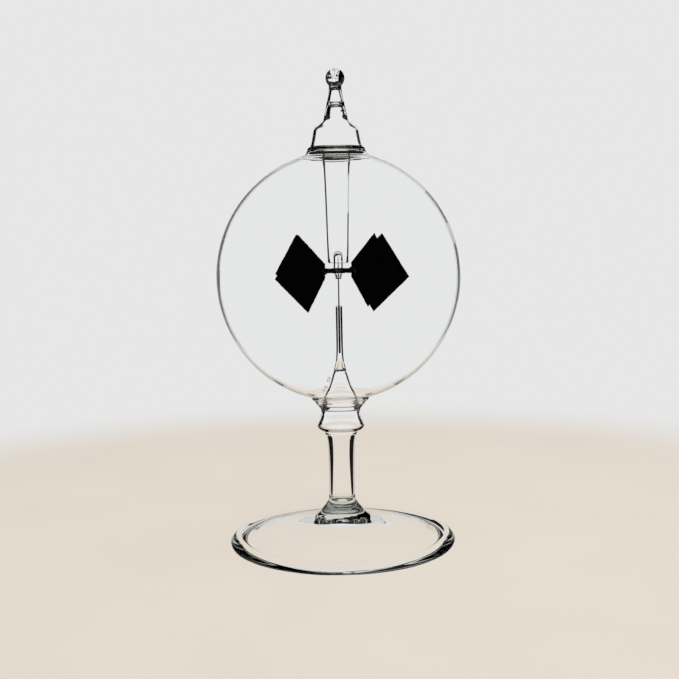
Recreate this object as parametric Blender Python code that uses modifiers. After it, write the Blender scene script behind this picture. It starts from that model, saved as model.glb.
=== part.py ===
"""Light mill: a blown glass globe on a wine-glass foot, with four black vanes on a needle.

Metres, +Z up. The origin is on the needle's axis, in the plane that the foot stands on.
The glass parts stand on one another from the foot upwards, so every height follows from
the sizes below. Pieces that are fused or pinched together keep GAP between them.
"""
import math

import bpy
from mathutils import Matrix

MM = 0.001

# Clearances
GAP = 0.3 * MM                   # between two pieces that are fused, melted or pinched together
CUP_CLEARANCE = 0.3 * MM         # from the needle's point to the roof of the bearing cup

# Foot
FOOT_RADIUS = 56.6 * MM
FOOT_HEIGHT = 17.6 * MM
FOOT_WALL = 2.8 * MM
FOOT_BOSS_RADIUS = 9.0 * MM      # thick glass under the stem
RIM_WIDTH = 7.0 * MM             # folded rim, across
RIM_HEIGHT = 4.9 * MM
CONTACT_WIDTH = 4.2 * MM         # flat ground ring that touches the table

# Stem
FLARE_HEIGHT = 4.4 * MM
STEM_RADIUS = 6.55 * MM
STEM_WALL = 1.5 * MM
STEM_LENGTH = 33.4 * MM
STEM_TOP_RADIUS = 8.0 * MM       # the stem opens out again under the knop
STEM_TOP_FLARE = 8.0 * MM        # length of that opening out

# Knop and the collar that carries the globe
KNOP_RADIUS = 11.7 * MM
KNOP_HEIGHT = 10.9 * MM
NECK_RADIUS = 9.7 * MM
KNOP_WALL = 1.1 * MM
COLLAR_HEIGHT = 6.6 * MM
COLLAR_TOP_RADIUS = 13.2 * MM
COLLAR_SEAT_RADIUS = 11.4 * MM   # outside radius where the support cone is sealed in
COLLAR_SEAT_RISE = 2.4 * MM
COLLAR_WALL = 1.1 * MM

# Globe
GLOBE_RADIUS = 60.0 * MM
GLOBE_HALF_HEIGHT = 61.2 * MM    # it is a little taller than wide
GLOBE_WALL = 1.2 * MM
GLOBE_BOTTOM_OPENING = 12.0 * MM
GLOBE_NECK_RADIUS = 14.3 * MM
GLOBE_NECK_RISE = 0.7 * MM       # steep part of the neck above its fillet
GLOBE_FILLET = 4.5 * MM          # how far outside the neck the fillet starts
GLOBE_FILLET_RISE = 1.7 * MM

# Sealed top: ring, cap, drawn tip, ball
SEAL_RING_HEIGHT = 2.7 * MM
CAP_BOTTOM_RADIUS = 12.5 * MM
CAP_CORNER_RADIUS = 11.1 * MM
CAP_WALL = 1.1 * MM
CAP_SIDE_HEIGHT = 8.9 * MM
CAP_SHOULDER_HEIGHT = 4.2 * MM
TIP_BASE_RADIUS = 5.8 * MM
TIP_HEIGHT = 15.0 * MM
TIP_WAIST_RADIUS = 2.8 * MM
TIP_WALL = 2.2 * MM
TIP_CAVITY = 6.8 * MM            # depth of the hollow in the tip
BALL_RADIUS = 4.65 * MM

# Guide tube that hangs over the bearing cup
GUIDE_OVERLAP = 5.1 * MM         # how far the tube reaches down over the cup
GUIDE_CLEARANCE = 1.6 * MM       # room round the cup
GUIDE_TOP_RADIUS = 7.0 * MM
GUIDE_UPPER_RADIUS = 6.3 * MM
GUIDE_TOP_FLARE = 4.0 * MM       # length over which the tube widens to its top
GUIDE_WALL = 0.9 * MM

# Needle and its glass support
CONE_HEIGHT = 19.4 * MM
CONE_TOP_RADIUS = 2.6 * MM
CONE_WALL = 0.9 * MM
HOLDER_RADIUS = 1.65 * MM
HOLDER_HEIGHT = 30.4 * MM
NEEDLE_RADIUS = 0.33 * MM
NEEDLE_TIP_RADIUS = 0.06 * MM
NEEDLE_TAPER = 26.0 * MM
NEEDLE_LENGTH = 49.2 * MM
NEEDLE_SEAT_DEPTH = 23.5 * MM    # how deep the needle stands in its holder

# Rotor
CUP_RADIUS = 2.6 * MM
CUP_WALL = 0.8 * MM
CUP_HEIGHT = 13.2 * MM
CUP_MOUTH_RADIUS = 1.5 * MM
CUP_TAPER = 3.0 * MM             # length over which the cup narrows to its mouth
HUB_HEIGHT = 2.4 * MM
HUB_WALL = 0.6 * MM
HUB_DROP = 7.9 * MM              # from the cup's top down to the hub's top
ARM_THICKNESS = 0.35 * MM
ARM_HEIGHT = 2.0 * MM
CLIP_THICKNESS = 0.25 * MM
CLIP_LENGTH = 3.0 * MM
CLIP_HEIGHT = 3.0 * MM
VANE_COUNT = 4
VANE_LONG_SIDE = 27.8 * MM
VANE_SHORT_SIDE = 25.9 * MM
VANE_THICKNESS = 0.3 * MM
VANE_CENTRE_RADIUS = 25.4 * MM
VANE_BLUNT_RADIUS = 9.9 * MM     # the corner next to the hub is cut off at this radius
VANE_TILT = math.radians(38.1)   # of the long side above the horizontal
VANE_DROP = 0.6 * MM             # from the arm's middle down to the vane's middle
FIRST_VANE_ANGLE = math.radians(48.3)

# Facets round each turned piece
NEEDLE_SIDES = 8
SMALL_SIDES = 16
NECK_SIDES = 24
WIDE_SIDES = 36

# Heights, from the foot upwards
FLARE_Z = FOOT_HEIGHT + GAP
STEM_Z = FLARE_Z + FLARE_HEIGHT + GAP
KNOP_Z = STEM_Z + STEM_LENGTH + GAP
COLLAR_Z = KNOP_Z + KNOP_HEIGHT + GAP
GLOBE_BOTTOM_Z = COLLAR_Z + COLLAR_HEIGHT + GAP


def globe_height(radius):
    """Height of the globe's outer wall above or below its centre, at this radius."""
    return GLOBE_HALF_HEIGHT * math.sqrt(1.0 - (radius / GLOBE_RADIUS) ** 2)


GLOBE_Z = GLOBE_BOTTOM_Z + globe_height(GLOBE_BOTTOM_OPENING)
FILLET_Z = GLOBE_Z + globe_height(GLOBE_NECK_RADIUS + GLOBE_FILLET)
GLOBE_TOP_Z = FILLET_Z + GLOBE_FILLET_RISE + GLOBE_NECK_RISE
RING_Z = GLOBE_TOP_Z + GAP
CAP_Z = RING_Z + SEAL_RING_HEIGHT + GAP
SHOULDER_Z = CAP_Z + CAP_SIDE_HEIGHT
TIP_Z = SHOULDER_Z + CAP_SHOULDER_HEIGHT + GAP
BALL_Z = TIP_Z + TIP_HEIGHT + GAP + BALL_RADIUS
GUIDE_TOP_Z = RING_Z - GAP

CONE_Z = COLLAR_Z + COLLAR_SEAT_RISE
CONE_BASE_RADIUS = COLLAR_SEAT_RADIUS - 1.2 * COLLAR_WALL - GAP
HOLDER_Z = CONE_Z + CONE_HEIGHT + GAP
NEEDLE_Z = HOLDER_Z + HOLDER_HEIGHT - NEEDLE_SEAT_DEPTH
NEEDLE_POINT_Z = NEEDLE_Z + NEEDLE_LENGTH
CUP_TOP_Z = NEEDLE_POINT_Z + CUP_CLEARANCE + CUP_WALL
HUB_Z = CUP_TOP_Z - HUB_DROP - HUB_HEIGHT
ARM_Z = HUB_Z + HUB_HEIGHT / 2.0
HUB_RADIUS = CUP_RADIUS + GAP + HUB_WALL
GUIDE_Z = CUP_TOP_Z - GUIDE_OVERLAP
GUIDE_END_RADIUS = CUP_RADIUS + GUIDE_CLEARANCE + GUIDE_WALL


# Outlines. A point is (radius, height).

def smooth(points, per_span=2):
    """A smooth outline (Catmull-Rom) through a few points, ends included."""
    line = []
    last = len(points) - 1
    for i in range(last):
        before, start = points[max(i - 1, 0)], points[i]
        end, after = points[i + 1], points[min(i + 2, last)]
        for step in range(per_span):
            t = step / per_span
            weights = (
                0.5 * (-t + 2.0 * t ** 2 - t ** 3),
                0.5 * (2.0 - 5.0 * t ** 2 + 3.0 * t ** 3),
                0.5 * (t + 4.0 * t ** 2 - 3.0 * t ** 3),
                0.5 * (-t ** 2 + t ** 3),
            )
            ends = (before, start, end, after)
            line.append(tuple(sum(w * p[axis] for w, p in zip(weights, ends)) for axis in (0, 1)))
    line.append(points[last])
    return line


def arc(centre, radii, start, end, steps):
    """Points on an ellipse's arc, from one angle in degrees to another."""
    line = []
    for i in range(steps + 1):
        angle = math.radians(start + (end - start) * i / steps)
        line.append((centre[0] + radii[0] * math.cos(angle), centre[1] + radii[1] * math.sin(angle)))
    return line


def inner_wall(outer, wall):
    """The outline's inside, one wall in from its outside. Both ends keep their height."""
    line = []
    last = len(outer) - 1
    high, low = outer[0][1], outer[-1][1]
    for i, (radius, height) in enumerate(outer):
        before, after = outer[max(i - 1, 0)], outer[min(i + 1, last)]
        along = (after[0] - before[0], after[1] - before[1])
        length = math.hypot(*along)
        inwards = (along[1] / length, -along[0] / length)
        if i in (0, last):
            line.append((radius + wall / inwards[0], height))
            continue
        inner_height = height + wall * inwards[1]
        if low < inner_height < high:
            line.append((radius + wall * inwards[0], inner_height))
    return line


def walled(outer, wall):
    """A closed outline of even wall thickness. The outside runs from top to bottom."""
    return outer + inner_wall(outer, wall)[::-1]


# Makers

def new_material(name, colour, roughness, metallic=0.0, glass=False):
    material = bpy.data.materials.new(name)
    material.use_nodes = True
    shader = material.node_tree.nodes["Principled BSDF"]
    shader.inputs["Base Color"].default_value = (*colour, 1.0)
    shader.inputs["Roughness"].default_value = roughness
    shader.inputs["Metallic"].default_value = metallic
    if glass:
        shader.inputs["Transmission Weight"].default_value = 1.0
        shader.inputs["IOR"].default_value = 1.47
    material.diffuse_color = (*colour, 1.0)
    return material


def add_object(name, data, collection, material):
    piece = bpy.data.objects.new(name, data)
    collection.objects.link(piece)
    data.materials.append(material)
    return piece


def turned(name, outline, steps, collection, material, closed=True):
    """A turned piece: its outline at +X swept round Z by a Screw modifier."""
    mesh = bpy.data.meshes.new(name)
    count = len(outline)
    edges = [(i, i + 1) for i in range(count - 1)]
    if closed:
        edges.append((count - 1, 0))
    mesh.from_pydata([(radius, 0.0, height) for radius, height in outline], edges, [])
    piece = add_object(name, mesh, collection, material)
    screw = piece.modifiers.new("turn", "SCREW")
    screw.axis = "Z"
    screw.angle = 2.0 * math.pi
    screw.steps = steps
    screw.render_steps = steps
    screw.use_merge_vertices = True
    screw.merge_threshold = 0.000001
    screw.use_smooth_shade = True
    return piece


def flat_plate(name, outline, thickness, collection, material):
    """A flat sheet with a straight-sided outline, its middle plane at local Z = 0."""
    curve = bpy.data.curves.new(name, "CURVE")
    curve.dimensions = "2D"
    curve.fill_mode = "BOTH"
    curve.extrude = thickness / 2.0
    spline = curve.splines.new("POLY")
    spline.points.add(len(outline) - 1)
    for point, (x, y) in zip(spline.points, outline):
        point.co = (x, y, 0.0, 1.0)
    spline.use_cyclic_u = True
    piece = add_object(name, curve, collection, material)
    weld = piece.modifiers.new("weld", "WELD")
    weld.merge_threshold = 0.000001
    return piece


# Glass that stands still

def add_foot(collection, glass):
    """Thin domed disc with a folded rim, hollow underneath, standing on a flat ring."""
    rim_inner = FOOT_RADIUS - RIM_WIDTH
    half_rim = RIM_HEIGHT / 2.0
    slope = FOOT_HEIGHT - RIM_HEIGHT
    dome = smooth([
        (FOOT_BOSS_RADIUS, FOOT_HEIGHT),
        (FOOT_BOSS_RADIUS + 0.09 * rim_inner, RIM_HEIGHT + 0.62 * slope),
        (FOOT_BOSS_RADIUS + 0.22 * rim_inner, RIM_HEIGHT + 0.42 * slope),
        (FOOT_BOSS_RADIUS + 0.45 * rim_inner, RIM_HEIGHT + 0.24 * slope),
        (rim_inner, RIM_HEIGHT - 0.25 * MM),
    ])
    crown = arc((FOOT_RADIUS - RIM_WIDTH / 2.0, half_rim), (RIM_WIDTH / 2.0, half_rim), 135, -60, 7)
    contact_inner = FOOT_RADIUS - RIM_WIDTH / 2.0 - CONTACT_WIDTH / 2.0
    contact = [(contact_inner + CONTACT_WIDTH, 0.0), (contact_inner, 0.0)]
    hollow = smooth([
        (contact_inner - 1.5 * MM, RIM_HEIGHT - FOOT_WALL),
        (0.55 * rim_inner, RIM_HEIGHT + 0.22 * slope - FOOT_WALL),
        (0.2 * rim_inner, RIM_HEIGHT + 0.40 * slope - FOOT_WALL),
        (0.0, RIM_HEIGHT + 0.45 * slope - FOOT_WALL),
    ])
    outline = [(0.0, FOOT_HEIGHT)] + dome + crown + contact + hollow
    turned("foot", outline, WIDE_SIDES, collection, glass, closed=False)


def add_stem(collection, glass):
    """Hollow stem on its flared base, opening out again at the top."""
    top = FLARE_Z + FLARE_HEIGHT
    flare = smooth([
        (STEM_RADIUS, top),
        (STEM_RADIUS + 0.30 * (FOOT_BOSS_RADIUS - STEM_RADIUS), top - 0.5 * FLARE_HEIGHT),
        (FOOT_BOSS_RADIUS, FLARE_Z),
    ])
    turned("stem_flare", walled(flare, STEM_WALL), NECK_SIDES, collection, glass)
    top = STEM_Z + STEM_LENGTH
    opening = STEM_TOP_RADIUS - STEM_RADIUS
    outer = smooth([
        (STEM_TOP_RADIUS, top),
        (STEM_RADIUS + 0.5 * opening, top - 0.30 * STEM_TOP_FLARE),
        (STEM_RADIUS + 0.1 * opening, top - 0.75 * STEM_TOP_FLARE),
        (STEM_RADIUS, top - STEM_TOP_FLARE),
    ]) + [(STEM_RADIUS, STEM_Z)]
    turned("stem_tube", walled(outer, STEM_WALL), NECK_SIDES, collection, glass)


def add_knop(collection, glass):
    """Hollow swelling between the stem and the collar."""
    outer = smooth([
        (NECK_RADIUS, KNOP_Z + KNOP_HEIGHT),
        (NECK_RADIUS + 0.2 * (KNOP_RADIUS - NECK_RADIUS), KNOP_Z + 0.77 * KNOP_HEIGHT),
        (KNOP_RADIUS - 0.25 * MM, KNOP_Z + 0.52 * KNOP_HEIGHT),
        (KNOP_RADIUS, KNOP_Z + 0.37 * KNOP_HEIGHT),
        (STEM_TOP_RADIUS + 0.65 * (KNOP_RADIUS - STEM_TOP_RADIUS), KNOP_Z + 0.15 * KNOP_HEIGHT),
        (STEM_TOP_RADIUS, KNOP_Z),
    ])
    turned("knop", walled(outer, KNOP_WALL), NECK_SIDES, collection, glass)


def add_collar(collection, glass):
    """Short dish that carries the globe and takes the support cone's base."""
    outer = smooth([
        (COLLAR_TOP_RADIUS, COLLAR_Z + COLLAR_HEIGHT),
        (0.5 * (COLLAR_TOP_RADIUS + COLLAR_SEAT_RADIUS), 0.5 * (CONE_Z + COLLAR_Z + COLLAR_HEIGHT)),
        (COLLAR_SEAT_RADIUS, CONE_Z),
        (NECK_RADIUS + 0.3 * (COLLAR_SEAT_RADIUS - NECK_RADIUS), COLLAR_Z + 0.4 * COLLAR_SEAT_RISE),
        (NECK_RADIUS, COLLAR_Z),
    ])
    turned("lower_collar", walled(outer, COLLAR_WALL), NECK_SIDES, collection, glass)


def add_globe(collection, glass):
    """The bulb: one thin wall from its bottom opening to the neck at its top."""
    fillet_radius = GLOBE_NECK_RADIUS + GLOBE_FILLET
    neck = smooth([
        (GLOBE_NECK_RADIUS, GLOBE_TOP_Z),
        (GLOBE_NECK_RADIUS + 0.07 * GLOBE_FILLET, GLOBE_TOP_Z - GLOBE_NECK_RISE),
        (GLOBE_NECK_RADIUS + 0.40 * GLOBE_FILLET, FILLET_Z + 0.35 * GLOBE_FILLET_RISE),
        (fillet_radius, FILLET_Z),
    ])
    start = math.degrees(math.acos(fillet_radius / GLOBE_RADIUS))
    end = -math.degrees(math.acos(GLOBE_BOTTOM_OPENING / GLOBE_RADIUS))
    ball = arc((0.0, GLOBE_Z), (GLOBE_RADIUS, GLOBE_HALF_HEIGHT), start, end, 18)
    bulb = turned("bulb", neck + ball[1:], WIDE_SIDES, collection, glass, closed=False)
    shell = bulb.modifiers.new("wall", "SOLIDIFY")
    shell.thickness = GLOBE_WALL
    shell.offset = -1.0
    shell.use_even_offset = True


def add_sealed_top(collection, glass):
    """Seal ring, cap, drawn tip and the solid ball that closes it."""
    ring = [
        (GLOBE_NECK_RADIUS, RING_Z + SEAL_RING_HEIGHT * 0.7),
        (GLOBE_NECK_RADIUS, RING_Z),
        (GUIDE_TOP_RADIUS - GUIDE_WALL, RING_Z),
        (GUIDE_TOP_RADIUS - GUIDE_WALL, RING_Z + SEAL_RING_HEIGHT),
        (CAP_BOTTOM_RADIUS, RING_Z + SEAL_RING_HEIGHT),
    ]
    turned("seal_ring", ring, NECK_SIDES, collection, glass)
    widening = CAP_CORNER_RADIUS - TIP_BASE_RADIUS
    cap = [(TIP_BASE_RADIUS, SHOULDER_Z + CAP_SHOULDER_HEIGHT)] + smooth([
        (TIP_BASE_RADIUS + 0.30 * widening, SHOULDER_Z + 0.62 * CAP_SHOULDER_HEIGHT),
        (CAP_CORNER_RADIUS - 0.6 * MM, SHOULDER_Z + 0.16 * CAP_SHOULDER_HEIGHT),
        (CAP_CORNER_RADIUS, SHOULDER_Z - 0.9 * MM),
        (CAP_BOTTOM_RADIUS, CAP_Z),
    ])
    turned("cap", walled(cap, CAP_WALL), NECK_SIDES, collection, glass)
    add_tip(collection, glass)
    top = arc((0.0, BALL_Z), (BALL_RADIUS, BALL_RADIUS), 90, -90, 10)
    top[0], top[-1] = (0.0, top[0][1]), (0.0, top[-1][1])
    turned("finial_ball", top, SMALL_SIDES, collection, glass, closed=False)


def add_tip(collection, glass):
    top = TIP_Z + TIP_HEIGHT
    taper = TIP_BASE_RADIUS - TIP_WAIST_RADIUS
    outer = smooth([
        (TIP_WAIST_RADIUS, top),
        (TIP_WAIST_RADIUS + 0.22 * taper, TIP_Z + 0.74 * TIP_HEIGHT),
        (TIP_WAIST_RADIUS + 0.66 * taper, TIP_Z + 0.38 * TIP_HEIGHT),
        (TIP_BASE_RADIUS, TIP_Z),
    ])
    hollow_radius = TIP_BASE_RADIUS - TIP_WALL
    hollow = [(hollow_radius, TIP_Z)]
    roof_centre = (0.0, TIP_Z + TIP_CAVITY - 0.7 * hollow_radius)
    hollow += arc(roof_centre, (0.8 * hollow_radius, 0.7 * hollow_radius), 0, 90, 3)
    hollow[-1] = (0.0, TIP_Z + TIP_CAVITY)
    turned("drawn_tip", [(0.0, top)] + outer + hollow, SMALL_SIDES, collection, glass, closed=False)


def add_guide_tube(collection, glass):
    """Tube that hangs from the seal ring and keeps the bearing cup on the needle."""
    length = GUIDE_TOP_Z - GUIDE_Z
    outer = smooth([
        (GUIDE_TOP_RADIUS, GUIDE_TOP_Z),
        (GUIDE_UPPER_RADIUS, GUIDE_TOP_Z - GUIDE_TOP_FLARE),
        (0.55 * GUIDE_UPPER_RADIUS + 0.45 * GUIDE_END_RADIUS, GUIDE_TOP_Z - 0.35 * length),
        (GUIDE_END_RADIUS, GUIDE_Z),
    ])
    turned("guide_tube", walled(outer, GUIDE_WALL), SMALL_SIDES, collection, glass)


def add_support(collection, glass):
    """Hollow cone that rises inside the globe, and the capillary that holds the needle."""
    narrowing = CONE_BASE_RADIUS - CONE_TOP_RADIUS
    outer = [(0.0, CONE_Z + CONE_HEIGHT)] + smooth([
        (CONE_TOP_RADIUS, CONE_Z + CONE_HEIGHT),
        (CONE_TOP_RADIUS + 0.18 * narrowing, CONE_Z + 0.82 * CONE_HEIGHT),
        (CONE_TOP_RADIUS + 0.36 * narrowing, CONE_Z + 0.57 * CONE_HEIGHT),
        (CONE_TOP_RADIUS + 0.57 * narrowing, CONE_Z + 0.30 * CONE_HEIGHT),
        (CONE_TOP_RADIUS + 0.75 * narrowing, CONE_Z + 0.12 * CONE_HEIGHT),
        (CONE_BASE_RADIUS, CONE_Z),
    ])
    hollow = inner_wall(outer[1:], CONE_WALL)[::-1]
    roof = CONE_Z + CONE_HEIGHT - CONE_WALL
    hollow = [point for point in hollow if point[1] < roof - 0.5 * CONE_WALL]
    outline = outer + hollow + [(hollow[-1][0] * 0.7, roof - 0.1 * CONE_WALL), (0.0, roof)]
    turned("support_cone", outline, SMALL_SIDES, collection, glass, closed=False)

    bore = NEEDLE_RADIUS + GAP
    top = HOLDER_Z + HOLDER_HEIGHT
    bore_bottom = NEEDLE_Z - GAP
    outline = [(0.0, bore_bottom), (bore, bore_bottom), (bore, top), (HOLDER_RADIUS - 0.3 * MM, top)]
    outline += smooth([
        (HOLDER_RADIUS, top - 0.4 * MM),
        (HOLDER_RADIUS, HOLDER_Z + 0.28 * HOLDER_HEIGHT),
        (HOLDER_RADIUS + 0.25 * (CONE_TOP_RADIUS - HOLDER_RADIUS), HOLDER_Z + 0.14 * HOLDER_HEIGHT),
        (CONE_TOP_RADIUS, HOLDER_Z),
    ]) + [(0.0, HOLDER_Z)]
    turned("needle_holder", outline, SMALL_SIDES, collection, glass, closed=False)


def add_needle(collection, steel):
    outline = [
        (0.0, NEEDLE_POINT_Z),
        (NEEDLE_TIP_RADIUS, NEEDLE_POINT_Z - 0.05 * MM),
        (0.8 * NEEDLE_RADIUS, NEEDLE_POINT_Z - 0.25 * NEEDLE_TAPER),
        (NEEDLE_RADIUS, NEEDLE_POINT_Z - NEEDLE_TAPER),
        (NEEDLE_RADIUS, NEEDLE_Z),
        (0.0, NEEDLE_Z),
    ]
    turned("needle", outline, NEEDLE_SIDES, collection, steel, closed=False)


# The rotor. Its pieces hang on one empty that stands on the needle's axis.

def hang_on(piece, axle, angle=0.0, tilt=0.0, place=(0.0, 0.0, 0.0)):
    """Parent a piece to the axle, first stood up by the tilt, then moved, then turned round Z."""
    piece.parent = axle
    turn = Matrix.Rotation(angle, 4, "Z")
    stand = Matrix.Rotation(tilt, 4, "X")
    piece.matrix_local = turn @ Matrix.Translation(place) @ stand


def add_bearing_cup(collection, glass, axle):
    """Glass cup, closed at the top, which rides on the needle's point."""
    top = CUP_TOP_Z - NEEDLE_POINT_Z
    bottom = top - CUP_HEIGHT
    outer = arc((0.0, top - CUP_RADIUS), (CUP_RADIUS, CUP_RADIUS), 90, 0, 4)
    outer[0] = (0.0, top)
    outer += [(CUP_RADIUS, bottom + CUP_TAPER), (CUP_MOUTH_RADIUS, bottom)]
    room = CUP_RADIUS - CUP_WALL
    inner = [(CUP_MOUTH_RADIUS - CUP_WALL, bottom), (room, bottom + CUP_TAPER)]
    inner += arc((0.0, top - CUP_WALL - room), (room, room), 0, 90, 4)
    inner[-1] = (0.0, top - CUP_WALL)
    cup = turned("bearing_cup", outer + inner, SMALL_SIDES, collection, glass, closed=False)
    hang_on(cup, axle)


def add_hub(collection, metal, axle):
    """Metal ring round the cup, from which the arms spread."""
    low = HUB_Z - NEEDLE_POINT_Z
    outer = [(HUB_RADIUS, low + HUB_HEIGHT), (HUB_RADIUS, low)]
    hub = turned("hub_ring", walled(outer, HUB_WALL), SMALL_SIDES, collection, metal)
    hang_on(hub, axle)


def add_arm(number, angle, collection, metal, axle):
    """Thin upright strip from the hub to the clip."""
    inner, outer = HUB_RADIUS + GAP, VANE_BLUNT_RADIUS - 2.0 * GAP - CLIP_THICKNESS
    outline = [(inner, 0.5), (outer, 0.5), (outer, -0.5), (inner, -0.5)]
    outline = [(x, side * ARM_HEIGHT) for x, side in outline]
    arm = flat_plate(f"arm_{number}", outline, ARM_THICKNESS, collection, metal)
    hang_on(arm, axle, angle, math.pi / 2.0, (0.0, 0.0, ARM_Z - NEEDLE_POINT_Z))


def add_clip(number, angle, collection, metal, axle):
    """Folded strip that pinches the vane's blunt corner."""
    slot = VANE_THICKNESS / 2.0 + GAP
    outside = slot + CLIP_THICKNESS
    back = VANE_BLUNT_RADIUS - GAP - CLIP_THICKNESS
    floor = back + CLIP_THICKNESS
    end = back + CLIP_LENGTH
    outline = [
        (back, -outside), (end, -outside), (end, -slot), (floor, -slot),
        (floor, slot), (end, slot), (end, outside), (back, outside),
    ]
    clip = flat_plate(f"vane_clip_{number}", outline, CLIP_HEIGHT, collection, metal)
    hang_on(clip, axle, angle, 0.0, (0.0, 0.0, ARM_Z - NEEDLE_POINT_Z))


def vane_outline():
    """Rectangle stood on one corner, with the corner next to the hub cut off upright."""
    half_long, half_short = VANE_LONG_SIDE / 2.0, VANE_SHORT_SIDE / 2.0
    cos_tilt, sin_tilt = math.cos(VANE_TILT), math.sin(VANE_TILT)
    corners = []
    for long_way, short_way in ((1, 1), (1, -1), (-1, -1), (-1, 1)):
        along, across = long_way * half_long, short_way * half_short
        x = VANE_CENTRE_RADIUS + along * cos_tilt - across * sin_tilt
        corners.append((x, along * sin_tilt + across * cos_tilt))
    inner = min(corners)
    start = corners.index(inner)
    after, before = corners[(start + 1) % 4], corners[start - 1]
    cuts = []
    for corner in (before, after):
        share = (VANE_BLUNT_RADIUS - inner[0]) / (corner[0] - inner[0])
        cuts.append((VANE_BLUNT_RADIUS, inner[1] + share * (corner[1] - inner[1])))
    return corners[:start] + cuts + corners[start + 1:]


def add_vane(number, angle, collection, soot, axle):
    vane = flat_plate(f"vane_{number}", vane_outline(), VANE_THICKNESS, collection, soot)
    place = (0.0, 0.0, ARM_Z - VANE_DROP - NEEDLE_POINT_Z)
    hang_on(vane, axle, angle, math.pi / 2.0, place)


def add_rotor(collection, glass, metal, soot):
    axle = bpy.data.objects.new("rotor_axis", None)
    axle.location = (0.0, 0.0, NEEDLE_POINT_Z)
    axle.empty_display_size = 0.01
    collection.objects.link(axle)
    add_bearing_cup(collection, glass, axle)
    add_hub(collection, metal, axle)
    for i in range(VANE_COUNT):
        angle = FIRST_VANE_ANGLE + 2.0 * math.pi * i / VANE_COUNT
        add_arm(i + 1, angle, collection, metal, axle)
        add_clip(i + 1, angle, collection, metal, axle)
        add_vane(i + 1, angle, collection, soot, axle)


def main():
    for old in list(bpy.data.objects):
        bpy.data.objects.remove(old, do_unlink=True)
    collection = bpy.data.collections.new("light_mill")
    bpy.context.scene.collection.children.link(collection)

    glass = new_material("clear_glass", (0.93, 0.96, 0.95), 0.02, glass=True)
    steel = new_material("needle_steel", (0.32, 0.32, 0.34), 0.3, metallic=1.0)
    metal = new_material("arm_metal", (0.08, 0.07, 0.07), 0.5, metallic=0.6)
    soot = new_material("lamp_black", (0.008, 0.008, 0.008), 0.95)

    add_foot(collection, glass)
    add_stem(collection, glass)
    add_knop(collection, glass)
    add_collar(collection, glass)
    add_globe(collection, glass)
    add_sealed_top(collection, glass)
    add_guide_tube(collection, glass)
    add_support(collection, glass)
    add_needle(collection, steel)
    add_rotor(collection, glass, metal, soot)


main()
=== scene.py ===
"""Looks of the light mill: a blown glass globe on a foot, with four black vanes on a needle."""
import math
from random import Random

import bpy
from mathutils import Matrix, Vector


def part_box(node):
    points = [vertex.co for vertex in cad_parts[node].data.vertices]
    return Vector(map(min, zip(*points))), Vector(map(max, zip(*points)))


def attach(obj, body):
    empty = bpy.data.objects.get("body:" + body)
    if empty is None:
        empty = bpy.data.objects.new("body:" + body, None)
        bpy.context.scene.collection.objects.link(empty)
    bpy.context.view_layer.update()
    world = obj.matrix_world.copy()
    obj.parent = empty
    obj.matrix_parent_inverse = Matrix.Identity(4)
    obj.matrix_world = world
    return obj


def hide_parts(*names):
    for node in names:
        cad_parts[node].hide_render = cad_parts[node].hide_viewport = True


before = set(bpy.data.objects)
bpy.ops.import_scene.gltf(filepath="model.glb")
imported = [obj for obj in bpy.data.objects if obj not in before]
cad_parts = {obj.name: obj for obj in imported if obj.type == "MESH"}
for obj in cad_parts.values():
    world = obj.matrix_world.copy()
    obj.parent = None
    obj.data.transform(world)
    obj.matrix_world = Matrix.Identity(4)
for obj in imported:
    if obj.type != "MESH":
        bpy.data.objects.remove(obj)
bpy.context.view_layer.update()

MM = 0.001

# The glass
GLOBE_RADIUS = 60.3 * MM
GLOBE_HALF_HEIGHT = 61.5 * MM
GLOBE_WALL = 0.8 * MM
CAP_WALL = 0.9 * MM
KNOP_WALL = 1.25 * MM
STEM_WALL = 1.6 * MM
GLOBE_OPENING = 12.0 * MM          # radius of the hole that the collar closes
NECK_START = 21.5                  # mm, radius where the globe starts to rise into its neck
BALL_RADIUS = 4.65                 # mm
BUBBLE_COUNT = 46

# How finely it is made, and how unevenly
GLASS_SIDES = 104                  # facets round the big glass
SEAL_SIDES = 96
CUP_SIDES = 48
CURVE_STEP = 1.0 * MM              # along an outline
GLOBE_STEP = 2.8                   # degrees along the globe's outline
SEAM_GAP = 0.0005 * MM             # points closer than this are one
GLASS_UNEVENNESS = 0.25 * MM
BUBBLE_UNEVENNESS = 1.1 * MM       # the drawn neck is lumpy inside
SEAL_UNEVENNESS = 0.5 * MM
UNEVEN_FADE = 4.0 * MM             # unevenness grows over this much radius

# The vanes
VANE_CUTS = 4                      # times that each edge is halved
VANE_FRAY = 0.7 * MM


# ---------------------------------------------------------------------------------------------
# Outlines. A point is (radius, height) in millimetres, its height counted from a node's base.

def above(node, points):
    """Points given above a node's base, as (radius, height) in metres in the frame."""
    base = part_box(node)[0].z
    return [(radius * MM, base + height * MM) for radius, height in points]


def through(points, step=CURVE_STEP):
    """A smooth line (centripetal Catmull-Rom) through the points, ends included."""
    dots = [Vector(point) for point in points]
    dots = [2.0 * dots[0] - dots[1]] + dots + [2.0 * dots[-1] - dots[-2]]
    line = []
    for i in range(1, len(dots) - 2):
        a, b, c, d = dots[i - 1:i + 3]
        knots = [0.0]
        for start, end in ((a, b), (b, c), (c, d)):
            knots.append(knots[-1] + math.sqrt((end - start).length))
        count = max(2, math.ceil((c - b).length / step))
        for j in range(count):
            t = knots[1] + (knots[2] - knots[1]) * j / count
            line.append(tuple(blend_knots((a, b, c, d), knots, t)))
    line.append(tuple(dots[-2]))
    return line


def blend_knots(dots, knots, t):
    """One point of the centripetal Catmull-Rom curve, by repeated mixing."""
    row = list(dots)
    for reach in (1, 2):
        row = [
            mix_between(row[i], row[i + 1], knots[i], knots[i + reach], t) for i in range(len(row) - 1)
        ]
    return mix_between(row[0], row[1], knots[1], knots[2], t)


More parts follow.
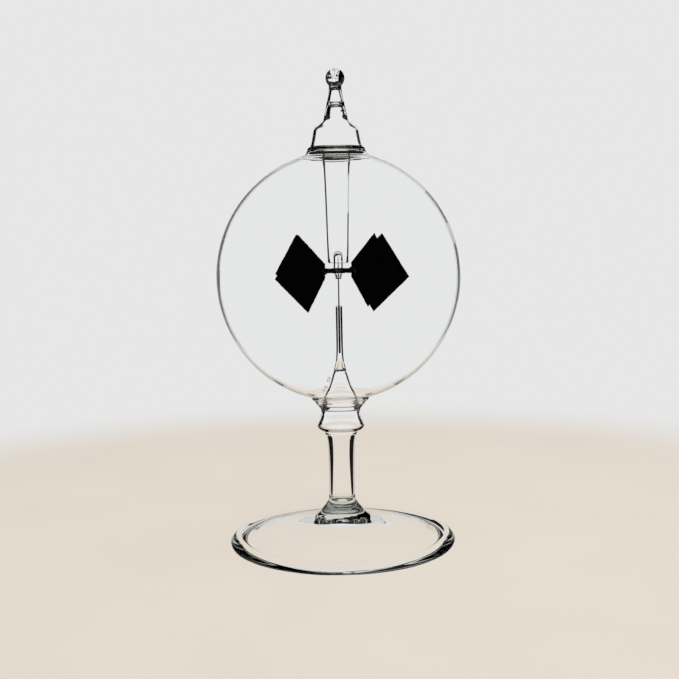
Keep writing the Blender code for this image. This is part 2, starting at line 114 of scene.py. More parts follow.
def mix_between(start, end, low, high, t):
    """Start where t is low, end where t is high."""
    return start * ((high - t) / (high - low)) + end * ((t - low) / (high - low))


def arc(centre, radii, start, end, step=GLOBE_STEP):
    """Points on an ellipse's arc between two angles in degrees."""
    count = max(2, math.ceil(abs(end - start) / step))
    line = []
    for i in range(count + 1):
        angle = math.radians(start + (end - start) * i / count)
        line.append((centre[0] + radii[0] * math.cos(angle), centre[1] + radii[1] * math.sin(angle)))
    return line


def globe_centre():
    """Height of the globe's middle."""
    opening = GLOBE_OPENING / GLOBE_RADIUS
    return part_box("bulb")[0].z + GLOBE_HALF_HEIGHT * math.sqrt(1.0 - opening ** 2)


def globe_arc(inset, start_radius, end_radius, downwards):
    """The globe's wall between a radius near its top and one near its bottom."""
    wide, tall = GLOBE_RADIUS - inset, GLOBE_HALF_HEIGHT - inset
    centre = globe_centre()
    top = math.degrees(math.acos(start_radius * MM / wide))
    bottom = -math.degrees(math.acos(end_radius * MM / wide))
    line = arc((0.0, centre), (wide, tall), top, bottom)
    return line if downwards else line[::-1]


def outside_of_glass():
    """From the ball's top down the outside to the middle of the foot's hollow."""
    ball = above("finial_ball", [(0.0, BALL_RADIUS)])[0]
    line = arc(ball, (BALL_RADIUS * MM, BALL_RADIUS * MM), 90, -46, 6)
    line[0] = (0.0, line[0][1])
    line += through(above("drawn_tip", [
        (3.05, 15.9), (3.1, 14.6), (3.6, 11.3), (4.25, 8.5), (4.8, 5.6), (5.4, 2.9), (5.75, 1.1),
    ]) + cap_outside())
    line += through(above("seal_ring", [(12.75, 2.95), (13.0, 3.0), (13.9, 2.75), (14.2, 2.0), (14.35, 1.5)]))
    line += neck_outside()
    line += globe_arc(0.0, NECK_START, 15.2, True)
    line += through(
        above("lower_collar", [
            (14.3, 6.6), (14.2, 6.0), (13.4, 5.0), (12.2, 3.7), (11.1, 2.5), (10.35, 1.6), (9.9, 0.6),
        ])
        + knop_outside() + stem_outside()
        + above("stem_flare", [(6.8, 4.3), (7.5, 2.9), (8.6, 1.2), (9.6, 0.2)])
        + above("foot", [
            (11.0, 15.9), (13.2, 13.8), (16.6, 12.1), (22.0, 10.6), (31.0, 8.4), (41.0, 6.3),
            (46.6, 5.0), (48.4, 4.35), (49.4, 4.2), (50.3, 4.55), (51.4, 5.1), (53.0, 5.2),
            (54.6, 4.6), (56.1, 3.3), (56.7, 2.1), (56.4, 1.0), (55.5, 0.2), (54.8, 0.0),
        ]))
    line += through(above("foot", [
        (51.2, 0.0), (50.4, 0.25), (49.3, 1.2), (47.0, 2.2), (40.0, 3.9), (30.0, 5.8), (20.0, 7.7),
        (12.0, 9.6), (7.0, 10.9), (4.0, 11.5), (0.0, 11.7),
    ]))
    return line


def globe_top(radius):
    """Height of the globe's outside at a radius in its upper half."""
    return globe_centre() + GLOBE_HALF_HEIGHT * math.sqrt(1.0 - (radius / GLOBE_RADIUS) ** 2)


def neck_outside():
    """The globe's neck, flaring down from the ring until it runs along the globe."""
    line = above("seal_ring", [(14.5, 1.1), (14.9, 0.3), (15.5, -0.55), (16.4, -1.3)])
    for radius, lift in ((17.6, 0.28), (19.0, 0.08), (20.4, 0.01), (NECK_START, 0.0)):
        line.append((radius * MM, globe_top(radius * MM) + lift * MM))
    return through(line)


def cap_outside():
    """The cap's outside, from the drawn tip down to the ring."""
    return above("cap", [
        (6.2, 12.9), (7.2, 11.9), (8.7, 10.8), (10.1, 9.7), (10.95, 8.5), (11.35, 6.8),
        (11.75, 4.5), (12.3, 1.9), (12.85, 0.35),
    ])


def knop_outside():
    """The knop's outside, top to bottom."""
    return above("knop", [
        (9.65, 10.4), (9.75, 9.2), (10.2, 7.6), (10.9, 6.0), (11.6, 4.4), (11.75, 3.6), (11.4, 2.7),
        (10.2, 1.7), (8.9, 0.9), (8.2, 0.2),
    ])


def stem_outside():
    """The stem's outside, top to bottom."""
    return above("stem_tube", [
        (7.8, 33.0), (7.3, 31.6), (6.95, 29.6), (6.7, 27.0), (6.5, 23.0), (6.42, 15.0), (6.5, 7.0),
        (6.6, 1.0),
    ])


def inset(line, wall):
    """The outline moved inwards by the wall's thickness, square to itself."""
    moved = []
    for i, (radius, height) in enumerate(line):
        before, after = Vector(line[max(i - 1, 0)]), Vector(line[min(i + 1, len(line) - 1)])
        along = (after - before).normalized()
        moved.append((radius + wall * along.y, height - wall * along.x))
    return moved


def bubble_in_neck():
    """The long bubble that was closed off in the drawn neck."""
    return through(above("drawn_tip", [
        (0.0, 15.9), (1.3, 15.6), (2.05, 14.4), (2.55, 11.9), (3.1, 9.4), (3.3, 8.3), (2.6, 7.75),
        (0.0, 7.65),
    ]))[::-1]


def inside_of_globe():
    """The evacuated space: over the needle's holder and cone, round the globe, up into the tip."""
    line = through(above("needle_holder", [
        (0.0, 30.5), (0.9, 30.6), (1.4, 30.5), (1.6, 30.0), (1.62, 28.5),
    ]), 0.2 * MM)
    line += through(
        above("needle_holder", [(1.62, 20.0), (1.65, 8.4), (1.8, 4.9), (2.1, 2.4), (2.5, 0.7)])
        + above("support_cone", [
            (2.8, 18.9), (3.2, 17.3), (3.85, 15.3), (4.5, 13.0), (5.1, 11.0), (5.9, 9.2), (6.8, 7.4),
            (7.6, 5.7), (8.3, 3.9), (8.9, 2.3), (9.45, 1.2),
        ])
        + above("lower_collar", [(10.2, 3.4), (11.2, 4.3), (12.4, 5.7), (13.3, 7.0), (14.2, 7.9)]))
    line += globe_arc(GLOBE_WALL, NECK_START, 15.5, False)
    line += inset(neck_outside(), GLOBE_WALL)[:0:-1]
    line += through(
        above("seal_ring", [
            (13.6, 0.9), (13.2, 1.4), (12.2, 1.6), (10.5, 1.4), (9.0, 0.9), (7.9, -0.2),
        ])
        + above("guide_tube", [
            (7.1, 51.6), (6.75, 49.2), (6.4, 46.3), (6.0, 36.3), (5.7, 24.3), (5.4, 10.3), (5.2, 1.3),
        ]))
    line += through(above("guide_tube", [
        (5.1, 0.3), (4.8, -0.1), (4.45, 0.1), (4.45, 0.7),
    ]), 0.2 * MM)
    line += through(
        above("guide_tube", [
            (4.75, 4.3), (4.95, 10.3), (5.25, 24.3), (5.55, 36.3), (5.9, 46.3), (6.2, 50.3),
        ])
        + above("seal_ring", [(6.6, 0.4), (7.2, 1.5), (8.5, 2.1), (10.4, 2.4), (11.5, 2.6), (11.9, 2.9)]))
    line += inset(through(cap_outside()), CAP_WALL)[::-1]
    line += through(above("drawn_tip", [
        (4.9, 0.3), (4.3, 1.4), (3.8, 2.7), (3.45, 4.2), (3.1, 5.6), (2.6, 6.6), (1.4, 7.1), (0.0, 7.2),
    ]))
    return line


def inside_of_stem():
    """The sealed space under the globe: from the stem's bottom up into the support cone."""
    line = through(above("stem_tube", [
        (0.0, -2.2), (2.2, -2.0), (3.9, -1.2), (4.7, 0.2),
    ]))
    line += inset(through(stem_outside()), STEM_WALL)[::-1]
    line += inset(through(knop_outside()), KNOP_WALL)[::-1]
    line += through(above("support_cone", [
        (8.6, -1.0), (8.3, 0.7), (7.85, 2.7), (7.2, 4.6), (6.4, 6.5), (5.5, 8.3), (4.7, 10.1),
        (4.0, 12.4), (3.3, 14.8), (2.7, 16.7), (1.9, 17.9), (0.0, 18.3),
    ]))
    return line


def cup_outline():
    """Bearing cup: outside from its thick top to its mouth, then up the inside."""
    wide, room, height = 2.35, 1.85, 13.8
    outer = [(0.0, height)] + [
        (wide * math.cos(math.radians(a)), height - 3.0 + 3.0 * math.sin(math.radians(a)))
        for a in range(80, -1, -10)
    ]
    outer += [(2.35, 6.0), (2.3, 3.6), (2.1, 2.6), (1.7, 1.8), (1.4, 0.9), (1.45, 0.1)]
    inner = [(1.2, 0.0), (0.8, 0.4), (0.75, 1.2), (1.1, 2.4), (1.7, 3.2), (1.85, 4.4)]
    inner += [
        (room * math.cos(math.radians(a)), 10.4 + 2.0 * math.sin(math.radians(a))) for a in range(0, 81, 10)
    ] + [(0.0, 12.4)]
    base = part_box("bearing_cup")[1].z - 13.2 * MM
    return [(radius * MM, base + z * MM) for radius, z in outer + inner]


# ---------------------------------------------------------------------------------------------
# Geometry Nodes

def new_tree(name, inputs):
    """A geometry tree with a Geometry input and output, and the named inputs."""
    tree = bpy.data.node_groups.new(name, "GeometryNodeTree")
    face = tree.interface
    face.new_socket("Geometry", in_out="INPUT", socket_type="NodeSocketGeometry")
    for title, kind in inputs:
        face.new_socket(title, in_out="INPUT", socket_type=kind)
    face.new_socket("Geometry", in_out="OUTPUT", socket_type="NodeSocketGeometry")
    start = tree.nodes.new("NodeGroupInput")
    end = tree.nodes.new("NodeGroupOutput")
    return tree, start, end


def add(tree, kind, wires=(), **settings):
    """A node with its settings, and wires or values for its inputs by name or number."""
    node = tree.nodes.new(kind)
    for key, value in settings.items():
        setattr(node, key, value)
    for socket, source in dict(wires).items():
        if isinstance(source, bpy.types.NodeSocket):
            tree.links.new(source, node.inputs[socket])
        else:
            node.inputs[socket].default_value = source
    return node


def maths(tree, operation, first, second=0.0):
    """The result of a Math node."""
    return add(tree, "ShaderNodeMath", {0: first, 1: second}, operation=operation).outputs[0]


def finish_tree(tree, end, geometry, material):
    """Realize Instances and Set Material, then out."""
    real = add(tree, "GeometryNodeRealizeInstances", {0: geometry}).outputs[0]
    done = add(tree, "GeometryNodeSetMaterial", {"Geometry": real, "Material": material}).outputs[0]
    tree.links.new(done, end.inputs[0])


def uneven_push(tree, noise, amount):
    """An offset up to half the amount in each direction, from a noise."""
    lean = add(tree, "ShaderNodeVectorMath", {
        0: noise.outputs["Color"], 1: (0.5, 0.5, 0.5),
    }, operation="SUBTRACT").outputs[0]
    return add(tree, "ShaderNodeVectorMath", {0: lean, "Scale": amount}, operation="SCALE").outputs[0]


def turning_tree():
    """Turns an outline (a row of vertices in the XZ plane) round Z, a little uneven as hand work."""
    tree, start, end = new_tree("turned_outline", [
        ("Sides", "NodeSocketInt"), ("Unevenness", "NodeSocketFloat"),
        ("Even inside radius", "NodeSocketFloat"), ("Seed", "NodeSocketFloat"),
        ("Material", "NodeSocketMaterial"),
    ])
    sides = start.outputs["Sides"]
    size = add(tree, "GeometryNodeAttributeDomainSize", {0: start.outputs["Geometry"]}, component="MESH")
    rows = size.outputs["Point Count"]
    grid = add(tree, "GeometryNodeMeshGrid", {
        "Size X": 1.0, "Size Y": 1.0, "Vertices X": maths(tree, "ADD", sides, 1.0), "Vertices Y": rows,
    })
    index = add(tree, "GeometryNodeInputIndex").outputs[0]
    column = maths(tree, "FLOOR", maths(tree, "DIVIDE", maths(tree, "ADD", index, 0.5), rows))
    row = maths(tree, "SUBTRACT", index, maths(tree, "MULTIPLY", column, rows))
    share = maths(tree, "DIVIDE", maths(tree, "MODULO", column, sides), sides)
    turn = maths(tree, "MULTIPLY", share, 2.0 * math.pi)
    here = add(tree, "GeometryNodeInputPosition").outputs[0]
    sample = add(tree, "GeometryNodeSampleIndex", {
        "Geometry": start.outputs["Geometry"], "Value": here, "Index": row,
    }, data_type="FLOAT_VECTOR", domain="POINT")
    outline = add(tree, "ShaderNodeSeparateXYZ", {0: sample.outputs[0]})
    radius, height = outline.outputs["X"], outline.outputs["Z"]
    around = add(tree, "ShaderNodeCombineXYZ", {
        "X": maths(tree, "MULTIPLY", radius, maths(tree, "COSINE", turn)),
        "Y": maths(tree, "MULTIPLY", radius, maths(tree, "SINE", turn)),
        "Z": height,
    }).outputs[0]
    noise = add(tree, "ShaderNodeTexNoise", {
        "Vector": around, "W": start.outputs["Seed"], "Scale": 55.0, "Detail": 1.0,
    }, noise_dimensions="4D")
    grip = add(tree, "ShaderNodeMapRange", {
        "Value": radius, "From Min": start.outputs["Even inside radius"],
        "From Max": maths(tree, "ADD", start.outputs["Even inside radius"], UNEVEN_FADE),
    }, interpolation_type="SMOOTHSTEP").outputs[0]
    amount = maths(tree, "MULTIPLY", grip, start.outputs["Unevenness"])
    push = uneven_push(tree, noise, amount)
    place = add(tree, "ShaderNodeVectorMath", {0: around, 1: push}, operation="ADD").outputs[0]
    moved = add(tree, "GeometryNodeSetPosition", {
        "Geometry": grid.outputs["Mesh"], "Position": place,
    }).outputs[0]
    closed = add(tree, "GeometryNodeMergeByDistance", {"Geometry": moved, "Distance": SEAM_GAP}).outputs[0]
    facing = add(tree, "GeometryNodeFlipFaces", {0: closed}).outputs[0]
    smooth = add(tree, "GeometryNodeSetShadeSmooth", {"Geometry": facing}).outputs[0]
    finish_tree(tree, end, smooth, start.outputs["Material"])
    return tree


def beads_tree():
    """A small uneven sphere on each vertex: bubbles when turned inside out, and otherwise drops."""
    tree, start, end = new_tree("beads", [
        ("Smallest", "NodeSocketFloat"), ("Largest", "NodeSocketFloat"), ("Inside out", "NodeSocketBool"),
        ("Seed", "NodeSocketInt"), ("Material", "NodeSocketMaterial"),
    ])
    ball = add(tree, "GeometryNodeMeshIcoSphere", {"Radius": 1.0, "Subdivisions": 3}).outputs[0]
    size = add(tree, "FunctionNodeRandomValue", {
        2: start.outputs["Smallest"], 3: start.outputs["Largest"], "Seed": start.outputs["Seed"],
    }, data_type="FLOAT")
    placed = add(tree, "GeometryNodeInstanceOnPoints", {
        "Points": start.outputs["Geometry"], "Instance": ball, "Scale": size.outputs[1],
    }).outputs[0]
    real = add(tree, "GeometryNodeRealizeInstances", {0: placed}).outputs[0]
    here = add(tree, "GeometryNodeInputPosition").outputs[0]
    noise = add(tree, "ShaderNodeTexNoise", {"Vector": here, "Scale": 900.0})
    push = uneven_push(tree, noise, start.outputs["Smallest"])
    moved = add(tree, "GeometryNodeSetPosition", {"Geometry": real, "Offset": push}).outputs[0]
    facing = add(tree, "GeometryNodeFlipFaces", {
        0: moved, "Selection": start.outputs["Inside out"],
    }).outputs[0]
    smooth = add(tree, "GeometryNodeSetShadeSmooth", {"Geometry": facing}).outputs[0]
    finish_tree(tree, end, smooth, start.outputs["Material"])
    return tree


def ragged_tree():
    """Cuts a thin card finer and pushes its points about, which frays its edges."""
    tree, start, end = new_tree("ragged_card", [
        ("Cuts", "NodeSocketInt"), ("Fray", "NodeSocketFloat"), ("Seed", "NodeSocketFloat"),
        ("Material", "NodeSocketMaterial"),
    ])
    fine = add(tree, "GeometryNodeSubdivideMesh", {
        0: start.outputs["Geometry"], "Level": start.outputs["Cuts"],
    }).outputs[0]
    here = add(tree, "GeometryNodeInputPosition").outputs[0]
    noise = add(tree, "ShaderNodeTexNoise", {
        "Vector": here, "W": start.outputs["Seed"], "Scale": 700.0, "Detail": 3.0,
    }, noise_dimensions="4D")
    push = uneven_push(tree, noise, start.outputs["Fray"])
    moved = add(tree, "GeometryNodeSetPosition", {"Geometry": fine, "Offset": push}).outputs[0]
    finish_tree(tree, end, moved, start.outputs["Material"])
    return tree


def run_tree(name, mesh, tree, values):
    """The tree's result on a mesh, as a plain mesh object with no modifier."""
    piece = bpy.data.objects.new(name, mesh)
    bpy.context.scene.collection.objects.link(piece)
    modifier = piece.modifiers.new("nodes", "NODES")
    modifier.node_group = tree
    for socket in tree.interface.items_tree:
        if socket.in_out == "INPUT" and socket.name in values:
            modifier[socket.identifier] = values[socket.name]
    bpy.context.view_layer.update()
    graph = bpy.context.evaluated_depsgraph_get()
    result = bpy.data.meshes.new_from_object(piece.evaluated_get(graph))
    result.name = name
    piece.modifiers.remove(modifier)
    piece.data = result
    return piece


def dots_mesh(points):
    """A mesh of loose points."""
    mesh = bpy.data.meshes.new("dots")
    mesh.from_pydata(points, [], [])
    return mesh


def turned(name, line, tree, material, sides, unevenness=0.0, even_inside=0.003):
    """An outline turned round Z, as a plain mesh object."""
    mesh = dots_mesh([(radius, 0.0, height) for radius, height in line])
    return run_tree(name, mesh, tree, {
        "Sides": sides, "Unevenness": unevenness, "Even inside radius": even_inside,
        "Seed": 1.0, "Material": material,
    })


def join(name, objects):
    """Joins plain mesh objects at the origin into one, and returns it."""
    bpy.ops.object.select_all(action="DESELECT")
    for piece in objects:
        piece.select_set(True)
    bpy.context.view_layer.objects.active = objects[0]
    bpy.ops.object.join()
    objects[0].name = name
    return objects[0]


# ---------------------------------------------------------------------------------------------
# Materials

def new_material(name):
    """A material, its tree and its Principled shader."""
    material = bpy.data.materials.new(name)
    material.use_nodes = True
    return material, material.node_tree, material.node_tree.nodes["Principled BSDF"]


def glass_material():
    """Clear blown glass: it bends light, mirrors it only at a glance, and is grey-green where thick."""
    material = bpy.data.materials.new("blown_glass")
    material.use_nodes = True
    tree = material.node_tree
    tree.nodes.clear()
    coords = add(tree, "ShaderNodeTexCoord").outputs["Object"]
    noise = add(tree, "ShaderNodeTexNoise", {"Vector": coords, "Scale": 90.0, "Detail": 3.0})
    rough = add(tree, "ShaderNodeMapRange", {
        "Value": noise.outputs["Fac"], "From Min": 0.45, "From Max": 0.8, "To Min": 0.0, "To Max": 0.02,
    }).outputs[0]
    bends = add(tree, "ShaderNodeBsdfRefraction", {"IOR": 1.47, "Roughness": rough}).outputs[0]
    mirrors = add(tree, "ShaderNodeBsdfAnisotropic", {"Roughness": rough}).outputs[0]
    glance = add(tree, "ShaderNodeFresnel", {"IOR": 1.47}).outputs[0]
    share = add(tree, "ShaderNodeMapRange", {"Value": glance, "From Min": 0.3, "From Max": 1.0}).outputs[0]
    glass = add(tree, "ShaderNodeMixShader", {0: share, 1: bends, 2: mirrors}).outputs[0]
    thick = add(tree, "ShaderNodeVolumeAbsorption", {"Color": (0.80, 0.90, 0.86, 1.0), "Density": 20.0})
    add(tree, "ShaderNodeOutputMaterial", {"Surface": glass, "Volume": thick.outputs[0]})
    return material


def seal_material():
    """Opaque and near-black, mottled."""
    material, tree, shader = new_material("seal_glass")
    coords = add(tree, "ShaderNodeTexCoord").outputs["Object"]
    noise = add(tree, "ShaderNodeTexNoise", {"Vector": coords, "Scale": 160.0, "Detail": 3.0})
    mix = add(tree, "ShaderNodeMix", {"Factor": noise.outputs["Fac"]}, data_type="RGBA")
    mix.inputs["A"].default_value = (0.002, 0.0015, 0.0015, 1.0)
    mix.inputs["B"].default_value = (0.035, 0.022, 0.02, 1.0)
    tree.links.new(mix.outputs["Result"], shader.inputs["Base Color"])
    rough = add(tree, "ShaderNodeMapRange", {"Value": noise.outputs["Fac"], "To Min": 0.4, "To Max": 0.8})
    tree.links.new(rough.outputs[0], shader.inputs["Roughness"])
    shader.inputs["Specular IOR Level"].default_value = 0.05
    return material


def soot_material():
    """Lamp black: dead matt, with a fine grain."""
    material, tree, shader = new_material("lamp_black")
    coords = add(tree, "ShaderNodeTexCoord").outputs["Object"]
    noise = add(tree, "ShaderNodeTexNoise", {"Vector": coords, "Scale": 900.0, "Detail": 6.0})
    ramp = add(tree, "ShaderNodeMapRange", {
        "Value": noise.outputs["Fac"], "From Min": 0.3, "From Max": 0.75, "To Min": 0.0002, "To Max": 0.0025,
    })
    colour = add(tree, "ShaderNodeCombineColor", {0: ramp.outputs[0], 1: ramp.outputs[0], 2: ramp.outputs[0]})
    tree.links.new(colour.outputs[0], shader.inputs["Base Color"])
    shader.inputs["Roughness"].default_value = 1.0
    shader.inputs["Specular IOR Level"].default_value = 0.0
    bump = add(tree, "ShaderNodeBump", {"Height": noise.outputs["Fac"], "Strength": 0.4, "Distance": 0.0002})
    tree.links.new(bump.outputs[0], shader.inputs["Normal"])
    return material


def metal_material(name, dark, bright, roughness):
    """Drawn or folded metal, mottled by fine dull patches."""
    material, tree, shader = new_material(name)
    coords = add(tree, "ShaderNodeTexCoord").outputs["Object"]
    noise = add(tree, "ShaderNodeTexNoise", {"Vector": coords, "Scale": 700.0, "Detail": 4.0})
    mix = add(tree, "ShaderNodeMix", {"Factor": noise.outputs["Fac"]}, data_type="RGBA")
    mix.inputs["A"].default_value = (*dark, 1.0)
    mix.inputs["B"].default_value = (*bright, 1.0)
    tree.links.new(mix.outputs["Result"], shader.inputs["Base Color"])
    shader.inputs["Metallic"].default_value = 1.0
    rough = add(tree, "ShaderNodeMapRange", {
        "Value": noise.outputs["Fac"], "To Min": roughness - 0.1, "To Max": roughness + 0.15,
    })
    tree.links.new(rough.outputs[0], shader.inputs["Roughness"])
    return material


# ---------------------------------------------------------------------------------------------
# Pieces

def bubbles_in_ball(beads, glass):
    """The ball at the top is full of small bubbles."""
    random = Random(11)
    centre = above("finial_ball", [(0.0, BALL_RADIUS)])[0][1]
    reach = 3.9                    # mm from the ball's middle
    apart = 0.95                   # mm between bubbles
    points = []
    while len(points) < BUBBLE_COUNT:
        point = Vector([random.uniform(-reach, reach) for _ in range(3)])
        if point.length < reach and all((point - other).length > apart for other in points):
            points.append(point)
    mesh = dots_mesh([(p.x * MM, p.y * MM, centre + p.z * MM) for p in points])
    return run_tree("bubbles", mesh, beads, {
        "Smallest": 0.12 * MM, "Largest": 0.42 * MM, "Inside out": True, "Seed": 4, "Material": glass,
    })


def drops_on_cone(beads, glass):
    """Drops left on the cone where it was worked."""
    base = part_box("support_cone")[0].z
    places = [(-5.6, -0.8, 14.2), (-6.0, -0.9, 12.9), (-7.3, -0.7, 9.6), (-8.2, -0.6, 7.9)]
    mesh = dots_mesh([(x * MM, y * MM, base + z * MM) for x, y, z in places])
    return run_tree("drops", mesh, beads, {
        "Smallest": 0.55 * MM, "Largest": 0.8 * MM, "Inside out": False, "Seed": 2, "Material": glass,
    })


def make_glass(turning, beads, glass):
    """The still glass but for the seal: its outside, three hollows, the bubbles and the drops."""
    even = 4.0 * MM                # no unevenness inside this radius
    shells = [
        turned("outside", outside_of_glass(), turning, glass, GLASS_SIDES, GLASS_UNEVENNESS, even),
        turned("globe_inside", inside_of_globe(), turning, glass, GLASS_SIDES, GLASS_UNEVENNESS, even),
        turned("stem_inside", inside_of_stem(), turning, glass, GLASS_SIDES, GLASS_UNEVENNESS, even),
        turned("neck_bubble", bubble_in_neck(), turning, glass, GLASS_SIDES, BUBBLE_UNEVENNESS, -2.0 * MM),
        bubbles_in_ball(beads, glass),
        drops_on_cone(beads, glass),
    ]
    piece = join("blown_glass", shells)
    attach(piece, "stand")
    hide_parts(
        "foot", "stem_flare", "stem_tube", "knop", "lower_collar", "bulb", "seal_ring", "cap",
        "drawn_tip", "finial_ball", "guide_tube", "support_cone", "needle_holder")
    lets_light_through(piece)


def lets_light_through(piece):
    """Clear glass darkens nothing behind it."""
    piece.visible_shadow = False
    piece.visible_diffuse = False


def make_cup(turning, glass):
    """The cup that rides on the needle's point."""
    piece = turned("bearing_cup_glass", cup_outline(), turning, glass, CUP_SIDES)
    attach(piece, "rotor")
    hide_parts("bearing_cup")
    lets_light_through(piece)


def make_seal(turning, seal):
    """A near-black, opaque ring in the neck, between the globe and the guide tube."""
    outline = above("seal_ring", [
        (8.1, -2.1), (9.6, -1.95), (11.6, -1.5), (12.9, -0.95), (13.6, -0.35), (13.7, 0.05), (13.4, 0.3),
        (12.4, 0.2), (10.6, -0.4), (9.0, -1.1), (8.1, -1.6), (8.1, -2.1),
    ])
    piece = turned("seal", outline, turning, seal, SEAL_SIDES, SEAL_UNEVENNESS, 4.0 * MM)
    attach(piece, "stand")


def make_vanes(ragged, soot):
    """The four blackened squares, their edges frayed."""
    for number in range(1, 5):
        name = f"vane_{number}"
        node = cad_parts[name]
        mesh = node.data.copy()
        mesh.transform(node.matrix_world)
        mesh.materials.clear()
        piece = run_tree(f"sooted_{name}", mesh, ragged, {
            "Cuts": VANE_CUTS, "Fray": VANE_FRAY, "Seed": float(number), "Material": soot,
        })
        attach(piece, "rotor")
        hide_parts(name)


def dress_cad_nodes(steel, metal):
    """New materials for the thin metal, whose shape stays as it is."""
    for name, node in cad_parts.items():
        if name == "needle":
            node.material_slots[0].material = steel
        elif name.startswith(("arm_", "vane_clip_", "hub_")):
            node.material_slots[0].material = metal


# ---------------------------------------------------------------------------------------------
# Stage: floor, backdrop, lamp, dark cards beside the view, camera

CAMERA_PLACE = (0.0, -0.5421, 0.160)
CAMERA_DIP = 5.97                  # degrees below level
CAMERA_ROLL = -1.0                 # degrees
CAMERA_LENS = 57.8                 # mm
FLOOR_RADIUS = 4.0
FLOOR_FADE = (0.26, 0.46)          # metres, the radii where the floor turns into the backdrop
FLOOR_DARK = (0.63, 0.57, 0.50, 1.0)
FLOOR_LIGHT = (0.67, 0.61, 0.54, 1.0)
TUNNEL_NEAR = 0.42                 # ahead of the camera; the light mill stands at 0.54
TUNNEL_MIDDLE = 0.80
TUNNEL_FAR = 3.0
TUNNEL_LEFT = 0.21                 # the cards' slopes away from the view's axis
TUNNEL_RIGHT = 0.22
TUNNEL_TOP = 0.34
LEFT_TONE = 0.0                    # how bright each card is
RIGHT_TONE = 0.02
TOP_TONE = 0.02
LOW_CARD_OFFSET = 0.066            # beside the stem, outside the globe's width
LOW_CARD_BOTTOM = -0.17
LOW_CARD_TOP = -0.095              # a slope, low enough to pass under the globe
LOW_CARD_START = 0.56
LOW_CARD_END = 0.84
LOW_CARD_TONE = 0.01
BACKDROP = (0.795, 0.797, 0.80)


def make_floor():
    """A plain pale floor that fades into the backdrop."""
    bpy.ops.mesh.primitive_circle_add(vertices=96, radius=FLOOR_RADIUS, fill_type="NGON")
    floor = bpy.context.object
    floor.name = "floor"
    floor.location.z = -0.3 * MM
    material = bpy.data.materials.new("floor")
    material.use_nodes = True
    tree = material.node_tree
    tree.nodes.clear()
    coords = add(tree, "ShaderNodeTexCoord").outputs["Object"]
    distance = add(tree, "ShaderNodeVectorMath", {0: coords}, operation="LENGTH").outputs["Value"]
    fade = add(tree, "ShaderNodeMapRange", {
        "Value": distance, "From Min": FLOOR_FADE[0], "From Max": FLOOR_FADE[1],
    }, interpolation_type="SMOOTHERSTEP").outputs[0]
    noise = add(tree, "ShaderNodeTexNoise", {"Vector": coords, "Scale": 14.0, "Detail": 4.0})
    tone = add(tree, "ShaderNodeMix", {"Factor": noise.outputs["Fac"]}, data_type="RGBA")
    tone.inputs["A"].default_value = FLOOR_DARK
    tone.inputs["B"].default_value = FLOOR_LIGHT
    matt = add(tree, "ShaderNodeBsdfDiffuse", {"Color": tone.outputs["Result"]}).outputs[0]
    glow = add(tree, "ShaderNodeEmission", {"Color": (*BACKDROP, 1.0)}).outputs[0]
    both = add(tree, "ShaderNodeMixShader", {0: fade, 1: matt, 2: glow}).outputs[0]
    out = add(tree, "ShaderNodeOutputMaterial")
    tree.links.new(both, out.inputs["Surface"])
    floor.data.materials.append(material)


def make_world():
    """Even light from all round, which is the backdrop too."""
    world = bpy.data.worlds.new("studio")
    bpy.context.scene.world = world
    world.use_nodes = True
    world.node_tree.nodes["Background"].inputs["Color"].default_value = (*BACKDROP, 1.0)


def make_lamp(name, place, target, size, power):
    """A round soft lamp that faces its target."""
    data = bpy.data.lights.new(name, "AREA")
    data.shape = "DISK"
    data.size = size
    data.energy = power
    lamp = bpy.data.objects.new(name, data)
    lamp.location = place
    lamp.rotation_euler = (Vector(target) - Vector(place)).to_track_quat("-Z", "Y").to_euler()
    bpy.context.scene.collection.objects.link(lamp)


def make_camera():
    """The camera, a little above the globe's middle and looking slightly down."""
    data = bpy.data.cameras.new("camera")
    data.sensor_width = 36.0
    data.lens = CAMERA_LENS
    data.clip_start = 0.01
    data.clip_end = 20.0
    camera = bpy.data.objects.new("camera", data)
    tilt = Matrix.Rotation(math.radians(90.0 - CAMERA_DIP), 4, "X")
    roll = Matrix.Rotation(math.radians(CAMERA_ROLL), 4, "Z")
    camera.matrix_world = Matrix.Translation(CAMERA_PLACE) @ tilt @ roll
    bpy.context.scene.collection.objects.link(camera)
    bpy.context.scene.camera = camera
    return camera


def make_card(camera, name, corners, tone):
    """A dark card beside the view, fixed to the camera. Only light that has been through glass sees it."""
    mesh = bpy.data.meshes.new(name)
    mesh.from_pydata(corners, [], [(0, 1, 2, 3)])
    card = bpy.data.objects.new(name, mesh)
    bpy.context.scene.collection.objects.link(card)
    material = bpy.data.materials.new(name)
    material.use_nodes = True
    tree = material.node_tree
    tree.nodes.clear()
    glow = add(tree, "ShaderNodeEmission", {"Color": (tone, tone, tone, 1.0)}).outputs[0]
    out = add(tree, "ShaderNodeOutputMaterial")
    tree.links.new(glow, out.inputs["Surface"])
    mesh.materials.append(material)
    card.parent = camera
    card.visible_camera = False
    card.visible_diffuse = False
    card.visible_glossy = False
    card.visible_shadow = False


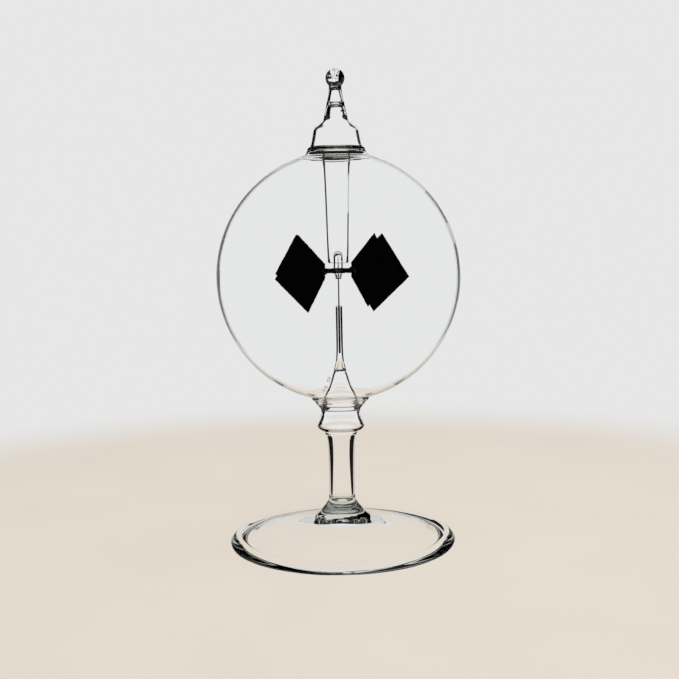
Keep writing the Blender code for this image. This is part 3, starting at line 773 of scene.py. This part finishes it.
def make_cards(camera):
    """Cards beside the view, in the camera's own axes. Each is a slope sideways and upwards, and a depth."""
    near, middle, far = TUNNEL_NEAR, TUNNEL_MIDDLE, TUNNEL_FAR
    left, right, top = -TUNNEL_LEFT, TUNNEL_RIGHT, TUNNEL_TOP
    for name, start, end, depths, tone in (
        ("left_card", (left, -0.4), (left, 0.42), (middle, far), LEFT_TONE),
        ("right_card", (right, 0.12), (right, -0.14), (middle, far), RIGHT_TONE),
        ("right_cap_card", (right, 0.27), (right, 0.165), (middle, far), RIGHT_TONE),
        ("left_front_card", (left, -0.4), (left, top), (near, middle), LEFT_TONE),
        ("right_front_card", (right, top), (right, -0.4), (near, middle), RIGHT_TONE),
        ("top_front_card", (left, top), (right, top), (near, middle), TOP_TONE),
        ("top_left_card", (left, 0.42), (-0.02, 0.42), (middle, 2.2), TOP_TONE),
    ):
        corners = [
            (x * z, y * z, -z)
            for (x, y), z in ((start, depths[0]), (end, depths[0]), (end, depths[1]), (start, depths[1]))
        ]
        make_card(camera, name, corners, tone)
    near, far = LOW_CARD_START, LOW_CARD_END
    for name, x in (("left_low_card", -LOW_CARD_OFFSET), ("right_low_card", LOW_CARD_OFFSET)):
        make_card(camera, name, [
            (x, LOW_CARD_BOTTOM, -near), (x, LOW_CARD_TOP * near, -near),
            (x, LOW_CARD_TOP * far, -far), (x, LOW_CARD_BOTTOM, -far),
        ], LOW_CARD_TONE)


def make_stage():
    """Everything round the light mill, and how light is followed through glass."""
    make_floor()
    make_world()
    make_lamp("overhead", (0.1, -0.1, 1.1), (0.0, 0.0, 0.0), 0.9, 6.0)
    camera = make_camera()
    make_cards(camera)
    scene = bpy.context.scene
    scene.view_settings.view_transform = "Standard"
    scene.cycles.max_bounces = 32
    scene.cycles.transmission_bounces = 32
    scene.cycles.glossy_bounces = 12
    scene.cycles.caustics_refractive = False
    scene.cycles.caustics_reflective = False


def main():
    turning = turning_tree()
    glass = glass_material()
    soot = soot_material()
    steel = metal_material("needle_steel", (0.01, 0.01, 0.01), (0.05, 0.045, 0.045), 0.4)
    metal = metal_material("arm_metal", (0.01, 0.009, 0.009), (0.05, 0.045, 0.045), 0.5)
    seal = seal_material()
    make_glass(turning, beads_tree(), glass)
    make_seal(turning, seal)
    make_cup(turning, glass)
    make_vanes(ragged_tree(), soot)
    dress_cad_nodes(steel, metal)
    make_stage()


main()
